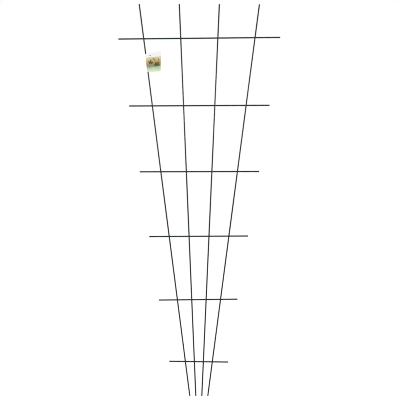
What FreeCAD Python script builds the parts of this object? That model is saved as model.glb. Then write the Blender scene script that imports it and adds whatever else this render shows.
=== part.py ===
import FreeCAD, Part
import math
import os
import Sketcher

# A fan trellis for climbing plants: four wires spread upwards like a fan from four prongs, six shorter wires
# lie across them, and each of the 24 crossings is welded before the whole grid is coated.
# Lengths are in millimetres, +Z is up and +X is to the viewer's right, who looks along +Y at the front.
# The origin is midway between the tips of the prongs, in the plane where the two layers of wire meet.

doc = FreeCAD.newDocument("FanTrellis")

# Each upright's place in the fan, as a share of the pitch between neighbours, counted from the middle.
fan_shares = {"outer_left": -1.5, "inner_left": -0.5, "inner_right": 0.5, "outer_right": 1.5}

crossbar_count = 6

# A weld bead is drawn with this many sides, which at its size is as good as round.
bead_sides = 10

driving_sizes = {
    "trellis_height": (1500.0, "from the tips of the prongs to the top ends of the uprights"),
    "prong_height": (137.0, "from the tips of the prongs to the lowest crossbar"),
    "top_tail": (123.0, "from the top crossbar to the top ends of the uprights"),
    "ground_pitch": (23.5, "between neighbouring uprights at their lower ends"),
    "top_pitch": (147.5, "between neighbouring uprights at their top ends"),
    "lowest_overhang": (63.0, "the lowest crossbar past the axis of the outer upright"),
    "overhang_growth": (6.2, "added to that overhang by each higher crossbar"),
    "upright_wire": (5.5, "diameter of an upright over its coating"),
    "crossbar_wire": (5.5, "diameter of a crossbar over its coating"),
    "end_chamfer": (0.5, "taken off the rim of a cut end before it is coated"),
    "weld_setdown": (0.8, "how far the welder presses the two wires into each other"),
    "weld_bead": (1.1, "how far the bead reaches from the line where the wires meet"),
    "label_height": (65.0, "of the label at its fold, along the upright"),
    "label_top_width": (57.0, "from the axis of the upright to the label's upper free corner"),
    "label_bottom_width": (47.5, "from the axis of the upright to the label's lower free corner"),
    "label_flare": (4.0, "how far each free corner lies outside the height at the fold"),
    "label_corner": (2.0, "radius of the label's two free corners"),
    "label_below_crossbar": (59.0, "from the top crossbar to the label, along the upright"),
    "label_fold": (7.0, "from the axis of the upright to where the label's two leaves meet"),
    "label_clearance": (0.1, "between the label and the coating"),
    "card_thickness": (0.3, "of the folded card, each leaf"),
    "crossbar_1_rise": (-2.6, "right end above left end, as the lowest crossbar was welded"),
    "crossbar_2_rise": (4.0, "the same for the next crossbar up"),
    "crossbar_3_rise": (2.8, "the same for the next crossbar up"),
    "crossbar_4_rise": (1.9, "the same for the next crossbar up"),
    "crossbar_5_rise": (3.4, "the same for the next crossbar up"),
    "crossbar_6_rise": (6.9, "the same for the top crossbar"),
    "crossbar_1_shift": (-0.4, "middle of the lowest crossbar to the right of the fan's middle"),
    "crossbar_2_shift": (-3.0, "the same for the next crossbar up"),
    "crossbar_3_shift": (-1.4, "the same for the next crossbar up"),
    "crossbar_4_shift": (1.2, "the same for the next crossbar up"),
    "crossbar_5_shift": (0.6, "the same for the next crossbar up"),
    "crossbar_6_shift": (0.0, "the same for the top crossbar, which is centred"),
}

sheet = doc.addObject("Spreadsheet::Sheet", "Sizes")
for row, (alias, (value, note)) in enumerate(driving_sizes.items(), start=1):
    sheet.set(f"A{row}", note)
    sheet.set(f"B{row}", str(value))
    sheet.setAlias(f"B{row}", alias)
doc.recompute()

# Places that follow from the driving sizes: each upright's foot on the ground and its lean, each crossbar's
# height, half length and tilt, and how far the axes of the two layers lie from the plane where they meet.
places = doc.addObject("App::VarSet", "Places")


def set_place(name, expression):
    places.addProperty("App::PropertyFloat", name, "Places")
    places.setExpression(name, expression)


set_place("upright_depth", "(Sizes.upright_wire - Sizes.weld_setdown) / 2")
set_place("crossbar_depth", "(Sizes.crossbar_wire - Sizes.weld_setdown) / 2")
set_place("fan_spread", "(Sizes.top_pitch - Sizes.ground_pitch) / Sizes.trellis_height")
for side, share in fan_shares.items():
    set_place(f"{side}_foot", f"{share} * Sizes.ground_pitch")
    set_place(f"{side}_lean", f"{share} * Places.fan_spread")

crossbar_numbers = range(1, crossbar_count + 1)
for number in crossbar_numbers:
    bar = f"crossbar_{number}"
    set_place(
        f"{bar}_height",
        "Sizes.prong_height + (Sizes.trellis_height - Sizes.prong_height - Sizes.top_tail)"
        f" * {number - 1} / {crossbar_count - 1}",
    )
    set_place(
        f"{bar}_half_length",
        f"Places.outer_right_foot + Places.outer_right_lean * Places.{bar}_height"
        f" + Sizes.lowest_overhang + {number - 1} * Sizes.overhang_growth",
    )
    set_place(f"{bar}_tilt", f"Sizes.{bar}_rise / (2 * Places.{bar}_half_length)")
doc.recompute()

# The numbers by which a sketch calls the points of a curve, its own X axis and its origin, which is the start
# of that axis.
start_number, end_number, centre_number = range(1, 4)
x_axis_number = -1
origin_numbers = (x_axis_number, start_number)


def new_sketch(body, name, plane_role):
    sketch = body.newObject("Sketcher::SketchObject", name)
    plane = next(plane for plane in body.Origin.OriginFeatures if plane.Role == plane_role)
    sketch.AttachmentSupport = [(plane, "")]
    sketch.MapMode = "FlatFace"
    return sketch


def bind(sketch, constraint, expression):
    number = sketch.addConstraint(constraint)
    sketch.setExpression(f"Constraints[{number}]", expression)


def edge_names(shape, wanted):
    return [f"Edge{number}" for number, edge in enumerate(shape.Edges, start=1) if wanted(edge)]


def dress_edges(body, base, wanted, kind, size_name, size):
    doc.recompute()
    dressed = body.newObject(f"PartDesign::{kind}", kind.lower())
    dressed.Base = (base, edge_names(base.Shape, wanted))
    dressed.setExpression(size_name, size)


def straight_wire(name, plane_role, wire, length, symmetric):
    """A coated wire, cut to length, along the normal of the plane and with both ends chamfered."""
    body = doc.addObject("PartDesign::Body", name)
    sketch = new_sketch(body, "section", plane_role)
    circle = Part.Circle(FreeCAD.Vector(0, 0, 0), FreeCAD.Vector(0, 0, 1), sheet.get(wire) / 2)
    rim = sketch.addGeometry(circle, False)
    sketch.addConstraint(Sketcher.Constraint("Coincident", rim, centre_number, *origin_numbers))
    bind(sketch, Sketcher.Constraint("Diameter", rim, sheet.get(wire)), f"Sizes.{wire}")
    pad = body.newObject("PartDesign::Pad", "wire")
    pad.Profile = sketch
    pad.SideType = "Symmetric" if symmetric else "One side"
    pad.setExpression("Length", length)
    dress_edges(body, pad, lambda edge: edge.Closed, "Chamfer", "Size", "Sizes.end_chamfer")
    return body


def place(item, x, y, z, axis, angle):
    item.setExpression("Placement", f"placement(vector({x}; {y}; {z}); rotation(vector({axis}); {angle}))")


# Uprights: each leans about Y and stands with the lowest point of its blunt end on the ground.
uprights = {}
for side in fan_shares:
    foot = f"Places.{side}_foot"
    lean = f"Places.{side}_lean"
    set_place(f"{side}_tip", f"(Sizes.upright_wire / 2 - Sizes.end_chamfer) * abs(sin(atan({lean})))")
    tip = f"Places.{side}_tip"
    length = f"(Sizes.trellis_height - 2 * {tip}) / cos(atan({lean}))"
    uprights[side] = straight_wire(f"upright_{side}", "XY_Plane", "upright_wire", length, False)
    across = f"{foot} + {lean} * {tip}"
    place(uprights[side], across, "-Places.upright_depth", tip, "0; 1; 0", f"atan({lean})")

upright_layer = doc.addObject("Part::Compound", "upright_layer")
upright_layer.Links = list(uprights.values())

# Crossbars: straight wires behind the uprights, into which the four uprights have sunk at the welds.
straight_bars = {}
crossbars = {}
for number in crossbar_numbers:
    bar = f"crossbar_{number}"
    straight_bars[number] = straight_wire(
        f"{bar}_straight", "YZ_Plane", "crossbar_wire", f"2 * Places.{bar}_half_length", True
    )
    place(
        straight_bars[number],
        f"Sizes.{bar}_shift",
        "Places.crossbar_depth",
        f"Places.{bar}_height",
        "0; 1; 0",
        f"-atan(Places.{bar}_tilt)",
    )
    crossbars[number] = doc.addObject("Part::Cut", bar)
    crossbars[number].Base = straight_bars[number]
    crossbars[number].Tool = upright_layer

# Welds: a bead round the line where the two wires meet, seated on the curved face of both. It is as thick as
# the wires are set down, with half the bead's reach to spare on either side.
set_place(
    "bead_radius",
    "sqrt(Sizes.weld_setdown * (Sizes.crossbar_wire - Sizes.weld_setdown)) + Sizes.weld_bead",
)
set_place("bead_thickness", "Sizes.weld_setdown + Sizes.weld_bead")
welds = []
for number in crossbar_numbers:
    bar = f"crossbar_{number}"
    for side, upright in uprights.items():
        foot = f"Places.{side}_foot"
        lean = f"Places.{side}_lean"
        tilt = f"Places.{bar}_tilt"
        level = f"(Places.{bar}_height - {tilt} * Sizes.{bar}_shift)"
        across = f"({foot} + {lean} * {level}) / (1 - {lean} * {tilt})"
        bead = doc.addObject("Part::Prism", f"bead_{number}_{side}")
        bead.Polygon = bead_sides
        bead.setExpression("Circumradius", "Places.bead_radius")
        bead.setExpression("Height", "Places.bead_thickness")
        place(bead, across, "Places.bead_thickness / 2", f"{level} + {tilt} * {across}", "1; 0; 0", "90")
        seat = doc.addObject("Part::Cut", f"seat_{number}_{side}")
        seat.Base = bead
        seat.Tool = upright
        weld = doc.addObject("Part::Cut", f"weld_{number}_{side}")
        weld.Base = seat
        weld.Tool = straight_bars[number]
        welds.append(weld)


def folded_card_section(sketch):
    """A card folded round the upright: an arc, and two leaves that run tangent to it until they meet."""
    inner = sheet.get("upright_wire") / 2 + sheet.get("label_clearance")
    card = sheet.get("card_thickness")
    fold = sheet.get("label_fold")
    width = sheet.get("label_top_width")
    slope = math.asin(inner / fold)
    origin = FreeCAD.Vector(0, 0, 0)
    normal = FreeCAD.Vector(0, 0, 1)
    touch = FreeCAD.Vector(math.sin(slope), math.cos(slope), 0)
    meet = FreeCAD.Vector(fold, 0, 0)
    leaf = FreeCAD.Vector(fold + card * math.tan(slope / 2), card, 0)
    free = FreeCAD.Vector(width, card, 0)

    def below(point):
        return FreeCAD.Vector(point.x, -point.y, 0)

    def arc(radius):
        circle = Part.Circle(origin, normal, radius)
        return Part.ArcOfCircle(circle, math.pi / 2 - slope, 3 * math.pi / 2 + slope)

    outline = [
        arc(inner + card),
        Part.LineSegment(below(touch * (inner + card)), below(leaf)),
        Part.LineSegment(below(leaf), below(free)),
        Part.LineSegment(below(free), free),
        Part.LineSegment(free, leaf),
        Part.LineSegment(leaf, touch * (inner + card)),
    ]
    loop = [
        arc(inner),
        Part.LineSegment(below(touch * inner), meet),
        Part.LineSegment(meet, touch * inner),
    ]
    outside, front_slope, front_leaf, edge, back_leaf, back_slope = sketch.addGeometry(outline, False)
    inside, front_inside, back_inside = sketch.addGeometry(loop, False)
    for this, following in [
        (front_slope, front_leaf),
        (front_leaf, edge),
        (edge, back_leaf),
        (back_leaf, back_slope),
        (front_inside, back_inside),
    ]:
        sketch.addConstraint(Sketcher.Constraint("Coincident", this, end_number, following, start_number))
    for curve, first, last in [(outside, front_slope, back_slope), (inside, front_inside, back_inside)]:
        sketch.addConstraint(Sketcher.Constraint("Coincident", curve, centre_number, *origin_numbers))
        sketch.addConstraint(Sketcher.Constraint("Tangent", curve, end_number, first, start_number))
        sketch.addConstraint(Sketcher.Constraint("Tangent", last, end_number, curve, start_number))
    sketch.addConstraint(Sketcher.Constraint("Parallel", front_slope, front_inside))
    sketch.addConstraint(Sketcher.Constraint("Parallel", back_slope, back_inside))
    sketch.addConstraint(Sketcher.Constraint("Horizontal", front_leaf))
    sketch.addConstraint(Sketcher.Constraint("Horizontal", back_leaf))
    sketch.addConstraint(Sketcher.Constraint("Vertical", edge))
    sketch.addConstraint(Sketcher.Constraint("PointOnObject", front_inside, end_number, x_axis_number))
    inside_radius = "Sizes.upright_wire / 2 + Sizes.label_clearance"
    bind(sketch, Sketcher.Constraint("Radius", inside, inner), inside_radius)
    outside_radius = f"{inside_radius} + Sizes.card_thickness"
    bind(sketch, Sketcher.Constraint("Radius", outside, inner + card), outside_radius)
    for direction, ends, distance, expression in [
        ("DistanceX", (*origin_numbers, front_inside, end_number), fold, "Sizes.label_fold"),
        ("DistanceX", (*origin_numbers, edge, end_number), width, "Sizes.label_top_width"),
        ("DistanceY", (*origin_numbers, edge, end_number), card, "Sizes.card_thickness"),
        ("DistanceY", (edge, start_number, *origin_numbers), card, "Sizes.card_thickness"),
    ]:
        bind(sketch, Sketcher.Constraint(direction, *ends, distance), expression)


def four_sided_outline(sketch, corners):
    """Straight sides between corners whose two distances from the sketch's origin are expressions."""
    points = [FreeCAD.Vector(*[sketch.evalExpression(place) for place in corner]) for corner in corners]
    next_points = points[1:] + points[:1]
    sides = sketch.addGeometry([Part.LineSegment(*ends) for ends in zip(points, next_points)], False)
    for side, following in zip(sides, sides[1:] + sides[:1]):
        sketch.addConstraint(Sketcher.Constraint("Coincident", side, end_number, following, start_number))
    for side, point, (across, up) in zip(sides, points, corners):
        ends = (*origin_numbers, side, start_number)
        bind(sketch, Sketcher.Constraint("DistanceX", *ends, point.x), across)
        bind(sketch, Sketcher.Constraint("DistanceY", *ends, point.y), up)


# Label: a card folded round the outer left upright and glued, so it keeps its height and its lean. The
# folded section runs along the upright, and the card's outline, seen from the front, is cut from it.
label_fold = doc.addObject("PartDesign::Body", "label_fold")
section = new_sketch(label_fold, "section", "XY_Plane")
folded_card_section(section)
leaves = label_fold.newObject("PartDesign::Pad", "leaves")
leaves.Profile = section
leaves.SideType = "Two sides"
leaves.setExpression("Length", "Sizes.label_height + 2 * Sizes.label_flare")
leaves.setExpression("Length2", "2 * Sizes.label_flare")

label_outline = doc.addObject("PartDesign::Body", "label_outline")
outline = new_sketch(label_outline, "outline", "XZ_Plane")
four_sided_outline(
    outline,
    [
        ("-Sizes.label_fold", "0"),
        ("Sizes.label_bottom_width", "-Sizes.label_flare"),
        ("Sizes.label_top_width", "Sizes.label_height + Sizes.label_flare"),
        ("-Sizes.label_fold", "Sizes.label_height"),
    ],
)
blank = label_outline.newObject("PartDesign::Pad", "blank")
blank.Profile = outline
blank.SideType = "Symmetric"
blank.setExpression("Length", "2 * Sizes.label_fold")


def at_free_corner(edge):
    through_the_card = edge.BoundBox.YLength > edge.BoundBox.ZLength
    return through_the_card and all(vertex.Point.x > 0 for vertex in edge.Vertexes)


dress_edges(label_outline, blank, at_free_corner, "Fillet", "Radius", "Sizes.label_corner")
set_place(
    "label_foot",
    f"Places.crossbar_{crossbar_count}_height"
    " - (Sizes.label_below_crossbar + Sizes.label_height) * cos(atan(Places.outer_left_lean))",
)
for body in (label_fold, label_outline):
    place(
        body,
        "Places.outer_left_foot + Places.outer_left_lean * Places.label_foot",
        "-Places.upright_depth",
        "Places.label_foot",
        "0; 1; 0",
        "atan(Places.outer_left_lean)",
    )
label = doc.addObject("Part::Common", "label")
label.Base = label_fold
label.Tool = label_outline
doc.recompute()

pieces = [*uprights.values(), *crossbars.values(), *welds, label]
for item in doc.Objects:
    if "Invalid" in item.State or "Error" in item.State:
        raise RuntimeError(f"{item.Label} failed: {item.State}")
for piece in pieces:
    if piece.Shape.isNull() or not piece.Shape.isValid() or len(piece.Shape.Solids) != 1:
        raise RuntimeError(f"{piece.Label} is not one valid solid")

os.makedirs("parts", exist_ok=True)
for piece in pieces:
    piece.Shape.exportStep(os.path.join("parts", f"{piece.Label}.step"))
print(f"{len(pieces)} pieces, {sum(piece.Shape.Volume for piece in pieces):.0f} mm3 in all")
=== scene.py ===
import math

import bmesh
import bpy
import numpy as np
from mathutils import Matrix, Vector, geometry, noise


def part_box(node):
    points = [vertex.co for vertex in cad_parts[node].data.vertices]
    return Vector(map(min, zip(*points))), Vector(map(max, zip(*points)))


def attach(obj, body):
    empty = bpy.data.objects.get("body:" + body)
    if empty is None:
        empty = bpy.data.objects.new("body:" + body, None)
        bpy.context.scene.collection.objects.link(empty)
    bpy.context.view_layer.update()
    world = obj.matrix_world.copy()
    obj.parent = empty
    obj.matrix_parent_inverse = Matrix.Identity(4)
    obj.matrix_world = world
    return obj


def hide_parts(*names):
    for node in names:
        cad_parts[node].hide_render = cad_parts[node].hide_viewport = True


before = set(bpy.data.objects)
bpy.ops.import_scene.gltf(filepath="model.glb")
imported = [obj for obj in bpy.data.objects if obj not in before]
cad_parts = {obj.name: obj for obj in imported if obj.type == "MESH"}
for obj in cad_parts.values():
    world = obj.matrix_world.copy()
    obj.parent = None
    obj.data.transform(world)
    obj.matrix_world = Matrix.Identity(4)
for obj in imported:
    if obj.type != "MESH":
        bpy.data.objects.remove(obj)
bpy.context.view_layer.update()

scene = bpy.context.scene
mm = 0.001
sides = ("outer_left", "inner_left", "inner_right", "outer_right")
rows = range(1, 7)  # crossbars, counted from the lowest
print("frame loaded:", len(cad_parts), "nodes")


# Small tools

def linear(hexColour):
    # an sRGB hex colour as the linear one that a shader takes
    parts = [int(hexColour[i:i + 2], 16) / 255 for i in (1, 3, 5)]
    return [c / 12.92 if c < 0.04045 else ((c + 0.055) / 1.055) ** 2.4 for c in parts] + [1.0]


def addNode(tree, kind, inputs=None, stops=None, **settings):
    # an input is named or numbered, and takes a value, an output, or a node for its first output;
    # stops are a colour ramp's places and colours
    node = tree.nodes.new("ShaderNode" + kind)
    for name, value in settings.items():
        setattr(node, name, value)
    for name, value in (inputs or {}).items():
        if isinstance(value, bpy.types.Node):
            value = value.outputs[0]
        if isinstance(value, bpy.types.NodeSocket):
            tree.links.new(value, node.inputs[name])
        else:
            node.inputs[name].default_value = value
    if stops:
        ramp = node.color_ramp.elements
        ramp[0].position, ramp[1].position = stops[0][0], stops[-1][0]
        ramp[0].color, ramp[1].color = linear(stops[0][1]), linear(stops[-1][1])
        for place, colour in stops[1:-1]:
            ramp.new(place).color = linear(colour)
    return node


def startMaterial(name):
    material = bpy.data.materials.new(name)
    material.use_nodes = True
    material.node_tree.nodes.clear()
    return material, material.node_tree


def unevenness(place, offset):
    # smooth noise from 0 to 1, the same each run, and read at another spot for each piece
    return 0.5 + 0.5 * noise.noise(place + offset)


def joinRows(faces, first, second, closed=True):
    # quads between two rows of vertex numbers
    count = len(first)
    for i in range(count if closed else count - 1):
        j = (i + 1) % count
        faces.append((first[i], first[j], second[j], second[i]))


sharpFrom = 50  # degrees between two faces, from which their edge is shaded sharp


def addPiece(name, verts, faces, material, replaced):
    mesh = bpy.data.meshes.new(name)
    mesh.from_pydata(verts, [], faces)
    work = bmesh.new()
    work.from_mesh(mesh)
    bmesh.ops.recalc_face_normals(work, faces=work.faces)
    work.to_mesh(mesh)
    work.free()
    mesh.materials.append(material)
    mesh.polygons.foreach_set("use_smooth", [True] * len(mesh.polygons))
    mesh.set_sharp_from_angle(angle=math.radians(sharpFrom))
    piece = bpy.data.objects.new(name, mesh)
    scene.collection.objects.link(piece)
    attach(piece, "root")
    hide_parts(replaced)
    return piece


# Where things are, read from the frame

decimals = 6  # of a metre, to which the points of neighbouring faces are one point
onFace = 0.05 * mm  # points this near a flat face or a plane lie in it


def meshPoints(nodeName):
    points = [v.co[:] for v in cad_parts[nodeName].data.vertices]
    return np.unique(np.round(np.array(points), decimals), axis=0)


def endCentres(nodeName):
    # the centres of a straight wire's two flat ends, the lower or left one first
    points = meshPoints(nodeName)
    axis = np.linalg.svd(points - points.mean(0), full_matrices=False)[2][0]
    axis *= np.sign(axis[np.argmax(abs(axis))])
    along = points @ axis
    ends = along < along.min() + onFace, along > along.max() - onFace
    return [Vector(points[end].mean(0)) for end in ends]


def crossing(first, second):
    # how far along each of two lines they cross, seen from the front
    (a, b), (c, d) = first, second
    u, v, gap = (b - a).normalized(), (d - c).normalized(), c - a
    cross = u.x * v.z - u.z * v.x
    return (gap.x * v.z - gap.z * v.x) / cross, (gap.x * u.z - gap.z * u.x) / cross


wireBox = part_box("upright_inner_left")
wireRadius = (wireBox[1].y - wireBox[0].y) / 2
uprightLines = {side: endCentres("upright_" + side) for side in sides}
crossbarLines = {row: endCentres(f"crossbar_{row}") for row in rows}
crossings = {(side, row): crossing(uprightLines[side], crossbarLines[row]) for side in sides for row in rows}
print("wire diameter", round(2 * wireRadius / mm, 2), "mm")


# Finishes of the wires and welds

def sinteredCoat(name, changes):
    # polyethylene powder sintered onto hot steel wire: a deep fir green that looks satin and a little waxy,
    # with a faint orange peel that breaks up its highlights
    coat = {
        "colour": "#0a1b14",
        "paleColour": "#142b22",  # where the coat lies thinner
        "cloudSize": 40.0,  # mm, slow changes between the two colours along a wire
        "cloudSpan": (0.3, 0.7),  # of the noise, from one colour to the other
        "roughness": 0.3,
        "smudge": 0.14,  # added to the roughness where handling has dulled the coat
        "smudgeSize": 9.0,  # mm
        "smudgeSpan": (0.45, 0.75),  # of the noise, from clean to dulled
        "ior": 1.3,  # polyethylene has 1.51, but its powdery skin mirrors less
        "peelSize": 2.0,  # mm, drawn coarse to show: the real peel is about 0.8 mm
        "peelHeight": 0.13,  # mm, as deep in its width as the real one
    }
    coat.update(changes)
    material, tree = startMaterial(name)
    place = addNode(tree, "TexCoord").outputs["Object"]
    scales = {key: 1 / (coat[key] * mm) for key in ("cloudSize", "peelSize", "smudgeSize")}
    cloud = addNode(tree, "TexNoise", {"Vector": place, "Scale": scales["cloudSize"], "Detail": 3.0})
    stops = list(zip(coat["cloudSpan"], (coat["colour"], coat["paleColour"])))
    colour = addNode(tree, "ValToRGB", {"Fac": cloud}, stops=stops)
    peel = addNode(tree, "TexNoise", {"Vector": place, "Scale": scales["peelSize"], "Detail": 1.0})
    bump = addNode(tree, "Bump", {"Height": peel, "Distance": coat["peelHeight"] * mm})
    smudge = addNode(tree, "TexNoise", {"Vector": place, "Scale": scales["smudgeSize"], "Detail": 4.0})
    dulled = addNode(tree, "MapRange", {
        "Value": smudge, "From Min": coat["smudgeSpan"][0], "From Max": coat["smudgeSpan"][1],
        "To Min": coat["roughness"], "To Max": coat["roughness"] + coat["smudge"]})
    shader = addNode(tree, "BsdfPrincipled", {
        "Base Color": colour, "Roughness": dulled, "IOR": coat["ior"], "Normal": bump})
    addNode(tree, "OutputMaterial", {"Surface": shader})
    return material


wireCoat = sinteredCoat("sinteredPolyethyleneCoat", {})
# the coat pools in the corners of a weld, so there it is thicker and glossier; its darker colour is painted
# shade for the corners between the wires
weldCoatPaintedShade = sinteredCoat("pooledCoatWithPaintedShade", {
    "colour": "#081711", "paleColour": "#10231b", "roughness": 0.24})
print("coats made")


# Wires: drawn steel, cut to length, coated after welding

wireForm = {
    "segments": 32,
    "stationGap": 9.0,  # mm between rings on a plain stretch
    "weldStationGap": 0.8,  # mm between rings at a weld
    "weldReach": 6.4,  # mm either side of a weld
    "endRound": 0.8,  # mm, radius of the coat over a cut end
    "endSteps": 6,
    "ripple": 0.035,  # mm, how much thinner the coat gets
    "rippleLength": 13.0,  # mm
    "electrodeFlat": 0.22,  # mm, pressed off the outer face by the welding electrode
    "electrodeSpread": 2.6,  # mm along the wire
    "electrodeEdge": 3,  # how quickly the flat runs out round the wire
    "uprightSeeds": (0, 7.3),  # where the wires' ripple is read: a start, and a step for each wire
    "crossbarSeeds": (40, 5.1),
}


def wireStations(length, welds):
    # places of the rings between the two rounded ends, closer together at each weld
    reach, fine, coarse = (wireForm[key] * mm for key in ("weldReach", "weldStationGap", "stationGap"))
    end = wireForm["endRound"] * mm
    marks = [end]
    for goal in [weld - reach for weld in welds] + [length - end]:
        marks += list(np.linspace(marks[-1], goal, max(1, round((goal - marks[-1]) / coarse)) + 1)[1:])
        if goal < length - end:
            marks += list(np.linspace(goal, goal + 2 * reach, round(2 * reach / fine) + 1)[1:])
    return marks


def buildWire(nodeName, line, welds, inward, seed):
    # inward is 1 where the other layer of wires lies towards +Y, else -1
    start, end = line
    axis, length = (end - start).normalized(), (end - start).length
    towards = Vector((0, inward, 0))
    across = axis.cross(towards)

    # each ring's place along the wire, and how much narrower it is: the blunt end, its rounded rim, the wire
    rim, steps = wireForm["endRound"] * mm, wireForm["endSteps"]
    turns = [math.pi / 2 * (1 - i / steps) for i in range(steps)]
    tip = [(0.0, wireRadius / 2)] + [(rim * (1 - math.sin(t)), rim * (1 - math.cos(t))) for t in turns]
    profile = tip + [(along, 0.0) for along in wireStations(length, welds)]
    profile += [(length - along, shrink) for along, shrink in reversed(tip)]

    verts, faces, last = [], [], None
    for along, shrink in profile:
        centre = start + axis * along
        nearest = min(abs(along - weld) for weld in welds) / (wireForm["electrodeSpread"] * mm)
        pressed = wireForm["electrodeFlat"] * math.exp(-nearest ** 2)
        ring = []
        for i in range(wireForm["segments"]):
            angle = 2 * math.pi * i / wireForm["segments"]
            normal = towards * math.cos(angle) + across * math.sin(angle)
            probe = (centre + normal * wireRadius) / (wireForm["rippleLength"] * mm)
            thin = wireForm["ripple"] * unevenness(probe, Vector((seed, 0, 0)))
            flat = pressed * max(0.0, -math.cos(angle)) ** wireForm["electrodeEdge"]
            ring.append(len(verts))
            verts.append(centre + normal * (wireRadius - shrink - (thin + flat) * mm))
        if last:
            joinRows(faces, last, ring)
        else:
            faces.append(ring[::-1])
        last = ring
    faces.append(last)
    addPiece("coated_" + nodeName, verts, faces, wireCoat, nodeName)


firstSeed, seedStep = wireForm["uprightSeeds"]
for number, side in enumerate(sides):
    welds = [crossings[side, row][0] for row in rows]
    buildWire("upright_" + side, uprightLines[side], welds, 1, firstSeed + seedStep * number)
firstSeed, seedStep = wireForm["crossbarSeeds"]
for row in rows:
    welds = [crossings[side, row][1] for side in sides]
    buildWire(f"crossbar_{row}", crossbarLines[row], welds, -1, firstSeed + seedStep * row)
print("wires made")


# Welds: metal pressed out round the joint, with the coat drawn into a hollow fillet over it

weldForm = {
    "segments": 40,
    "filletSteps": 5,
    "hollow": 0.5,  # how far the fillet is drawn into the corner between the wires
    "lumps": 0.07,  # unevenness of the pressed-out metal, as a share of its reach
    "lumpScale": 1.3,  # more makes more and smaller lumps round the bead
    "seat": 0.09,  # mm that it sinks into the coat of each wire
    "core": 1.6,  # mm, inner radius, inside both wires
    "blend": 8,  # how sharply the reach gives way to the bead's depth
    "halvings": 18,  # of the search for the corner between the wires
    "seedStep": 3.7,  # from one weld to the next
}
alongWire = 1e-6  # the least sine between a direction and a wire, so that nothing is divided by zero


def buildWeld(side, row, seed):
    nodeName = f"weld_{row}_{side}"
    low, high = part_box(nodeName)
    halfDeep, reach = (high.y - low.y) / 2, (high.z - low.z) / 2
    (foot, top), (left, right) = uprightLines[side], crossbarLines[row]
    upright, bar = (top - foot).normalized(), (right - left).normalized()
    alongUpright, alongBar = crossings[side, row]
    centre = (foot + upright * alongUpright + left + bar * alongBar) / 2
    depth = abs(foot.y - left.y) / 2  # from the middle of the weld to either wire's axis
    rim = math.sqrt(wireRadius ** 2 - (depth - halfDeep) ** 2)  # where a wire's face leaves the bead's depth
    sharpness = weldForm["blend"]

    def toFace(wire, direction, out):
        # from the middle plane of the weld to a wire's face, that far out
        return depth - math.sqrt(max(0.0, wireRadius ** 2 - (out * direction.cross(wire).length) ** 2))

    def seatOn(wire, direction, radius):
        # where the fillet runs out on that wire: how far out, and how far from the middle plane
        away = max(direction.cross(wire).length, alongWire)
        out = (radius ** -sharpness + (rim / away) ** -sharpness) ** (-1 / sharpness)
        return out, toFace(wire, direction, out) + weldForm["seat"] * mm

    def cornerOut(direction):
        # how far out the two wires' faces meet, by halving
        meet, apart = 0.0, rim
        for halving in range(weldForm["halvings"]):
            out = (meet + apart) / 2
            if toFace(upright, direction, out) + toFace(bar, direction, out) < 0:
                meet = out
            else:
                apart = out
        return out

    across = Vector((upright.z, 0, -upright.x))
    shares = [step / weldForm["filletSteps"] for step in range(weldForm["filletSteps"] + 1)]
    verts, rings, faces = [], [], []
    for i in range(weldForm["segments"]):
        angle = 2 * math.pi * i / weldForm["segments"]
        direction = upright * math.cos(angle) + across * math.sin(angle)
        lump = unevenness(direction * weldForm["lumpScale"], Vector((seed, seed, 0)))
        radius = reach * (1 - weldForm["lumps"] * lump)

        # the section in this direction, out from the middle and back through the weld
        frontOut, front = seatOn(upright, direction, radius)
        backOut, back = seatOn(bar, direction, radius)
        first, last = Vector((frontOut, -front)), Vector((backOut, back))
        out = cornerOut(direction)
        middle = ((first + last) / 2).lerp(Vector((out, toFace(bar, direction, out))), weldForm["hollow"])
        section = [first * (1 - t) ** 2 + middle * 2 * t * (1 - t) + last * t ** 2 for t in shares]
        section.append(Vector((weldForm["core"] * mm, 0)))
        rings.append(list(range(len(verts), len(verts) + len(section))))
        verts += [centre + direction * p.x + Vector((0, p.y, 0)) for p in section]
    for ring, nextRing in zip(rings, rings[1:] + rings[:1]):
        joinRows(faces, ring, nextRing)
    addPiece("coated_" + nodeName, verts, faces, weldCoatPaintedShade, nodeName)


for number, (side, row) in enumerate(crossings):
    buildWeld(side, row, weldForm["seedStep"] * number)
print("welds made")


# Label: the print on the card

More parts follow.
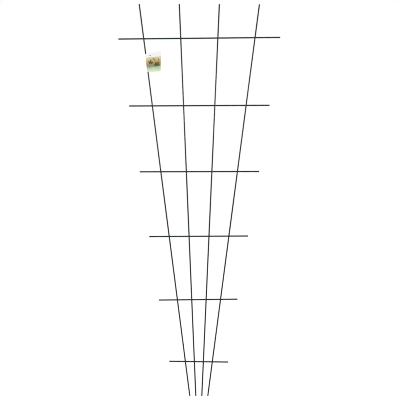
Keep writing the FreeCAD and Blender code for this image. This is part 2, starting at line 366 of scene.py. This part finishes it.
labelPrint = {  # places and sizes in mm: out from the upright's axis, and up from the lower edge
    # share of the height, and colour there
    "fields": [(0, "#dcedcb"), (0.18, "#bdd1a6"), (0.245, "#93a47c"), (0.36, "#7f8a61"), (0.43, "#a38e4b"),
               (0.60, "#cdb673"), (0.765, "#e3d6ab"), (0.80, "#fbfbf8"), (1, "#fcfcfa")],
    "fieldWaver": 2.6,  # mm up and down in the fields' edges
    "waverSize": 26.0,
    "waverSpan": (0.3, 0.7),  # of the noise, from the lowest to the highest
    "inks": {"leaf": "#3d3f1e", "darkLeaf": "#22260f", "blossom": "#6b4425", "disc": "#a9a5b0",
             "midrib": "#8c8a55"},
    # form, ink, out, up, half width, length, turned by degrees
    "motifs": [
        ("leaf", "leaf", 36.0, 16.0, 3.2, 20.0, -22), ("leaf", "darkLeaf", 36.0, 16.0, 3.4, 17.0, 14),
        ("leaf", "leaf", 36.5, 16.5, 2.8, 14.0, -58), ("leaf", "leaf", 35.5, 16.5, 2.8, 13.0, 52),
        ("leaf", "darkLeaf", 13.0, 26.0, 2.9, 15.0, 26), ("leaf", "leaf", 13.0, 26.0, 3.0, 19.0, -12),
        ("leaf", "darkLeaf", 13.5, 26.0, 2.6, 14.0, -48),
        ("round", "blossom", 25.5, 45.0, 2.4, 2.4, 0), ("round", "blossom", 30.5, 41.0, 1.9, 1.9, 0),
        ("round", "blossom", 45.5, 41.0, 2.3, 2.3, 0), ("round", "disc", 16.0, 58.0, 2.8, 2.8, 0),
    ],
    "ribWidth": 0.22,
    "paper": "#f7f6f1",
    "backTint": 0.5,  # how much of the fields' colour the back has, without the motifs
    "frontFrom": 0.9,  # the motifs show where a place is printed more than this
    "roughness": 0.42,
    "ior": 1.5,
    "fibreSize": 0.9,  # mm, drawn coarse to show
    "fibreHeight": 0.012,
}


def motifShape(tree, place, form, foot, size, turned):
    # 1 inside the motif and 0 outside, and how far off its midline a place is, in half widths
    own = addNode(tree, "Mapping", {
        "Vector": place, "Location": (*foot, 0), "Rotation": (0, 0, math.radians(turned)),
        "Scale": (*size, 1)}, vector_type="TEXTURE")
    split = addNode(tree, "SeparateXYZ", {0: own})
    off = addNode(tree, "Math", {0: split.outputs["X"]}, operation="ABSOLUTE")
    along = split.outputs["Y"]
    if form == "leaf":  # a leaf's half width is 4 y (1 - y), with y from its stalk to its tip
        rest = addNode(tree, "Math", {0: 1.0, 1: along}, operation="SUBTRACT")
        swell = addNode(tree, "Math", {0: along, 1: rest}, operation="MULTIPLY")
        edge = addNode(tree, "Math", {0: swell, 1: 4.0}, operation="MULTIPLY")
    else:  # a disc's is the root of 1 - y y
        squared = addNode(tree, "Math", {0: along, 1: 2.0}, operation="POWER")
        rest = addNode(tree, "Math", {0: 1.0, 1: squared}, operation="SUBTRACT")
        edge = addNode(tree, "Math", {0: rest}, operation="SQRT")
    return addNode(tree, "Math", {0: edge, 1: off}, operation="GREATER_THAN"), off


def printedCard(height):
    # coated board with a satin print: whites a little warm, a soft sheen, and the fibres just felt;
    # in a Mix node the colours are sockets 6 and 7, and their mix is output 2
    material, tree = startMaterial("satinPrintedCard")
    # mm out and up, and how much is printed: 1 in front, backTint behind and 0 inside
    place = addNode(tree, "Attribute", attribute_name="cardPlace").outputs["Vector"]
    split = addNode(tree, "SeparateXYZ", {0: place})
    waver = addNode(tree, "TexNoise", {"Vector": place, "Scale": 1 / labelPrint["waverSize"], "Detail": 1.0})
    lift = addNode(tree, "MapRange", {
        "Value": waver, "From Min": labelPrint["waverSpan"][0], "From Max": labelPrint["waverSpan"][1],
        "To Min": -labelPrint["fieldWaver"], "To Max": labelPrint["fieldWaver"]})
    lifted = addNode(tree, "Math", {0: split.outputs["Y"], 1: lift}, operation="ADD")
    share = addNode(tree, "Math", {0: lifted, 1: height / mm}, operation="DIVIDE")
    fields = addNode(tree, "ValToRGB", {"Fac": share}, stops=labelPrint["fields"]).outputs["Color"]

    front = fields
    inks = {name: linear(colour) for name, colour in labelPrint["inks"].items()}
    for form, inkName, out, up, halfWidth, length, turned in labelPrint["motifs"]:
        inside, off = motifShape(tree, place, form, (out, up), (halfWidth, length), turned)
        ink = inks[inkName]
        if form == "leaf":
            ribShare = labelPrint["ribWidth"] / halfWidth
            rib = addNode(tree, "Math", {0: off, 1: ribShare}, operation="LESS_THAN")
            ink = addNode(tree, "Mix", {0: rib, 6: ink, 7: inks["midrib"]}, data_type="RGBA").outputs[2]
        front = addNode(tree, "Mix", {0: inside, 6: front, 7: ink}, data_type="RGBA").outputs[2]

    printed = split.outputs["Z"]
    inFront = addNode(tree, "Math", {0: printed, 1: labelPrint["frontFrom"]}, operation="GREATER_THAN")
    inked = addNode(tree, "Mix", {0: inFront, 6: fields, 7: front}, data_type="RGBA").outputs[2]
    colour = addNode(tree, "Mix", {0: printed, 6: linear(labelPrint["paper"]), 7: inked}, data_type="RGBA")
    fibres = addNode(tree, "TexNoise", {"Vector": place, "Scale": 1 / labelPrint["fibreSize"], "Detail": 4.0})
    bump = addNode(tree, "Bump", {"Height": fibres, "Distance": labelPrint["fibreHeight"] * mm})
    shader = addNode(tree, "BsdfPrincipled", {
        "Base Color": colour.outputs[2], "Roughness": labelPrint["roughness"], "IOR": labelPrint["ior"],
        "Normal": bump})
    addNode(tree, "OutputMaterial", {"Surface": shader})
    return material


# Label: a card folded round the outer left upright, its two leaves glued together

labelForm = {
    "rowsUp": 26,
    "leafColumns": 24,
    "columnCrowding": 1.6,  # above 1, the columns crowd towards the free edge and its round corners
    "loopSteps": 14,  # half the way round the upright
    "easeSteps": 8,
    "easeOut": 3.2,  # mm over which the loop runs out into the flat leaves
    "easeHandles": (0.5, 0.35),  # of that curve, as shares of its span
    "cornerRound": 2.0,  # mm, as in the solid
    "bow": 0.7,  # mm that the leaves stand off flat
    "curl": 1.2,  # mm that the free upper corner comes forwards
    "glueLine": 0.01,  # mm between the leaves' inner faces
}


def cardOutline(start, out, up):
    # read from the solid, in the upright's own axes: x out to the right, z up along it
    points = [Vector((p.dot(out), p.y, p.dot(up))) for p in (Vector(q) - start for q in meshPoints("label"))]
    hull = [Vector((points[i].x, 0, points[i].z))
            for i in geometry.convex_hull_2d([(p.x, p.z) for p in points])]
    # the four longest edges; the short ones go round the corners
    edges = sorted(zip(hull, hull[1:] + hull[:1]), key=lambda edge: (edge[0] - edge[1]).length)[-4:]
    left, free = (pick(edges, key=lambda edge: edge[0].x + edge[1].x) for pick in (min, max))
    lower, upper = (pick(edges, key=lambda edge: edge[0].z + edge[1].z) for pick in (min, max))

    def corner(first, second):
        return first[0] + (first[1] - first[0]).normalized() * crossing(first, second)[0]

    parting = max(p.x for p in points if abs(p.y) < onFace)
    return {
        "lowerLeft": corner(lower, left), "lowerFree": corner(lower, free),
        "upperLeft": corner(upper, left), "upperFree": corner(upper, free),
        "loopRadius": -min(p.x for p in points),
        "parting": parting,  # how far out the loop closes and the leaves meet
        "sheet": max(abs(p.y) for p in points if p.x > 2 * parting),  # each leaf's thickness, past the loop
    }


def cardSection(card):
    # one half of the card's section, from the back of the loop to the free edge: how far out, how far off the
    # card's middle, and the share of the flat leaf that lies behind that place
    radius, parting, sheet = card["loopRadius"], card["parting"], card["sheet"]
    tangent = math.acos((radius - sheet) / parting)
    turns = np.linspace(math.pi, tangent, labelForm["loopSteps"] + 1)
    section = [(radius * math.cos(t), radius * math.sin(t), 0.0) for t in turns]

    # the loop eases out into the leaf on a cubic curve between two handles
    easeStart = Vector(section[-1][:2])
    easeEnd = Vector((parting + labelForm["easeOut"] * mm, sheet))
    span = (easeEnd - easeStart).length
    firstShare, lastShare = labelForm["easeHandles"]
    firstHandle = easeStart + Vector((math.sin(tangent), -math.cos(tangent))) * span * firstShare
    lastHandle = easeEnd - Vector((span * lastShare, 0))
    for t in np.linspace(0, 1, labelForm["easeSteps"] + 1)[1:]:
        p = easeStart * (1 - t) ** 3 + firstHandle * 3 * t * (1 - t) ** 2
        p = p + lastHandle * 3 * t ** 2 * (1 - t) + easeEnd * t ** 3
        section.append((p.x, p.y, 0.0))

    columns = labelForm["leafColumns"]
    for i in range(1, columns + 1):
        section.append((easeEnd.x, sheet, 1 - (1 - i / columns) ** labelForm["columnCrowding"]))
    return section


def edgeHeight(left, free, x, inwards):
    # the lower or upper edge's height at x, with the free corner rounded
    radius = labelForm["cornerRound"] * mm
    into = max(0.0, radius - (free.x - x))
    rounded = radius - math.sqrt(max(0.0, radius ** 2 - into ** 2))
    return left.z + (free.z - left.z) * (x - left.x) / (free.x - left.x) + inwards * rounded


def cardPoint(card, column, rise, inner):
    # a place on the card's outer skin or inner lining, in the upright's own axes, and its mark for the print
    (x, half, share), front = column
    lowX, highX = (x + (card[free].x - x) * share for free in ("lowerFree", "upperFree"))
    low = edgeHeight(card["lowerLeft"], card["lowerFree"], lowX, 1)
    high = edgeHeight(card["upperLeft"], card["upperFree"], highX, -1)
    out, up = lowX + (highX - lowX) * rise, low + (high - low) * rise

    glueLine, sheet = labelForm["glueLine"] * mm, card["sheet"]
    if inner and share == 0 and half > sheet:  # round the loop, the lining follows it inside
        shrink = (math.hypot(out, half) - (sheet - glueLine)) / math.hypot(out, half)
        half = max(half * shrink, glueLine)
    elif inner:
        half -= sheet - glueLine
    reach = max(0.0, (out - card["parting"]) / (card["upperFree"].x - card["parting"]))
    forwards = labelForm["bow"] * math.sin(math.pi * reach) + labelForm["curl"] * reach ** 2 * rise ** 2
    depth = (-half if front else half) - forwards * mm
    printed = 0.0 if inner else 1.0 if front else labelPrint["backTint"]
    return (out, depth, up), (out / mm, (up - card["lowerLeft"].z) / mm, printed)


def buildLabel():
    start, end = uprightLines["outer_left"]
    up = (end - start).normalized()
    out = Vector((up.z, 0, -up.x))
    card = cardOutline(start, out, up)
    section = cardSection(card)
    columns = [(entry, True) for entry in reversed(section)] + [(entry, False) for entry in section[1:]]

    verts, marks, faces, skins = [], [], [], []
    for inner in (False, True):
        skin = []
        for column in columns:
            skin.append(list(range(len(verts), len(verts) + labelForm["rowsUp"] + 1)))
            for row in range(labelForm["rowsUp"] + 1):
                (x, y, z), mark = cardPoint(card, column, row / labelForm["rowsUp"], inner)
                verts.append(start + out * x + up * z + Vector((0, y, 0)))
                marks.append(mark)
        for first, second in zip(skin, skin[1:]):
            joinRows(faces, first, second, closed=False)
        skins.append(skin)
    outer, lining = skins
    for row in (0, -1):
        joinRows(faces, [column[row] for column in outer], [column[row] for column in lining], closed=False)
    for column in (0, -1):
        joinRows(faces, outer[column], lining[column], closed=False)

    board = printedCard(card["upperLeft"].z - card["lowerLeft"].z)
    label = addPiece("folded_label", verts, faces, board, "label")
    placed = label.data.attributes.new("cardPlace", "FLOAT_VECTOR", "POINT")
    placed.data.foreach_set("vector", np.array(marks).ravel())


buildLabel()
print("label made")


# Stage: white floor and surroundings, and soft light

def whiteStage():
    stage = {
        "floorColour": "#6a6a68",
        "floorGlow": 0.915,  # what the floor needs beside the light that falls on it to show white
        "surroundings": 0.62,  # strength of the light from all round
        "reach": 9.0,  # m from the object to the floor's edges
    }

    def seenDirectly(tree):
        # 1 for what the camera, a gloss or a glass shows, and 0 for light that falls on the object
        rays = addNode(tree, "LightPath").outputs
        opaque = {0: rays["Is Camera Ray"], 1: rays["Is Glossy Ray"]}
        seen = addNode(tree, "Math", opaque, operation="MAXIMUM")
        return addNode(tree, "Math", {0: seen, 1: rays["Is Transmission Ray"]}, operation="MAXIMUM")

    floorMaterial, tree = startMaterial("paleStudioFloor")
    matt = addNode(tree, "BsdfDiffuse", {"Color": linear(stage["floorColour"])})
    glow = addNode(tree, "Emission", {"Strength": stage["floorGlow"]})
    lifted = addNode(tree, "AddShader", {0: matt, 1: glow})
    mixed = addNode(tree, "MixShader", {0: seenDirectly(tree), 1: matt, 2: lifted})
    addNode(tree, "OutputMaterial", {"Surface": mixed})
    r = stage["reach"]
    mesh = bpy.data.meshes.new("floor")
    mesh.from_pydata([(-r, -r, 0), (r, -r, 0), (r, r, 0), (-r, r, 0)], [], [(0, 1, 2, 3)])
    mesh.materials.append(floorMaterial)
    floor = bpy.data.objects.new("floor", mesh)
    scene.collection.objects.link(floor)

    world = bpy.data.worlds.new("studio")
    world.use_nodes = True
    tree = world.node_tree
    tree.nodes.clear()
    lit = addNode(tree, "Background", {"Color": (1, 1, 1, 1), "Strength": stage["surroundings"]})
    white = addNode(tree, "Background", {"Color": (1, 1, 1, 1), "Strength": 1.0})
    mixed = addNode(tree, "MixShader", {0: seenDirectly(tree), 1: lit, 2: white})
    addNode(tree, "OutputWorld", {"Surface": mixed})
    scene.world = world


def addSoftboxes():
    # four round the object, two in front and two behind, at the height of the camera, so that each upright
    # shows them as pale lines in its upper half; the crossbars turn them away and stay dark
    softboxes = {
        "distance": 3.2,  # m from the object's upright middle line
        "height": 1.15,  # m
        "size": (2.0, 0.6),  # m wide and high
        "directions": {"frontLeft": (-40, 36), "frontRight": (40, 33),  # degrees from the front, and watts
                       "rearLeft": (-125, 46), "rearRight": (125, 46)},
    }
    for name, (direction, power) in softboxes["directions"].items():
        lamp = bpy.data.lights.new(name + "Softbox", "AREA")
        lamp.shape = "RECTANGLE"
        lamp.size, lamp.size_y = softboxes["size"]
        lamp.energy = power
        box = bpy.data.objects.new(name + "Softbox", lamp)
        away = Matrix.Rotation(math.radians(direction), 3, "Z") @ Vector((0, -softboxes["distance"], 0))
        box.location = away + Vector((0, 0, softboxes["height"]))
        box.rotation_euler = (-away).to_track_quat("-Z", "Y").to_euler()
        box.visible_camera = False
        scene.collection.objects.link(box)


whiteStage()
addSoftboxes()
print("stage made")


# Camera, where the photograph was taken from

def addCamera():
    shot = {
        "distance": 3.0,  # m
        "aim": (0.00352, 0.0, 0.7732),  # m, the place in the middle of the picture
        "elevation": 7.23,  # degrees, looking down
        "roll": 0.085,  # degrees
        "lens": 71.09,  # mm
    }
    data = bpy.data.cameras.new("photoCamera")
    data.lens = shot["lens"]
    camera = bpy.data.objects.new("photoCamera", data)
    tilt = Matrix.Rotation(math.radians(90 - shot["elevation"]), 4, "X")
    turn = tilt @ Matrix.Rotation(math.radians(shot["roll"]), 4, "Z")
    back = turn.to_3x3() @ Vector((0, 0, shot["distance"]))
    camera.matrix_world = Matrix.Translation(Vector(shot["aim"]) + back) @ turn
    scene.collection.objects.link(camera)
    scene.camera = camera


addCamera()
scene.view_settings.view_transform = "Standard"
scene.cycles.filter_width = 1.0  # pixels: a crisp filter, so that a wire a pixel and a half wide stays dark
print("camera placed")
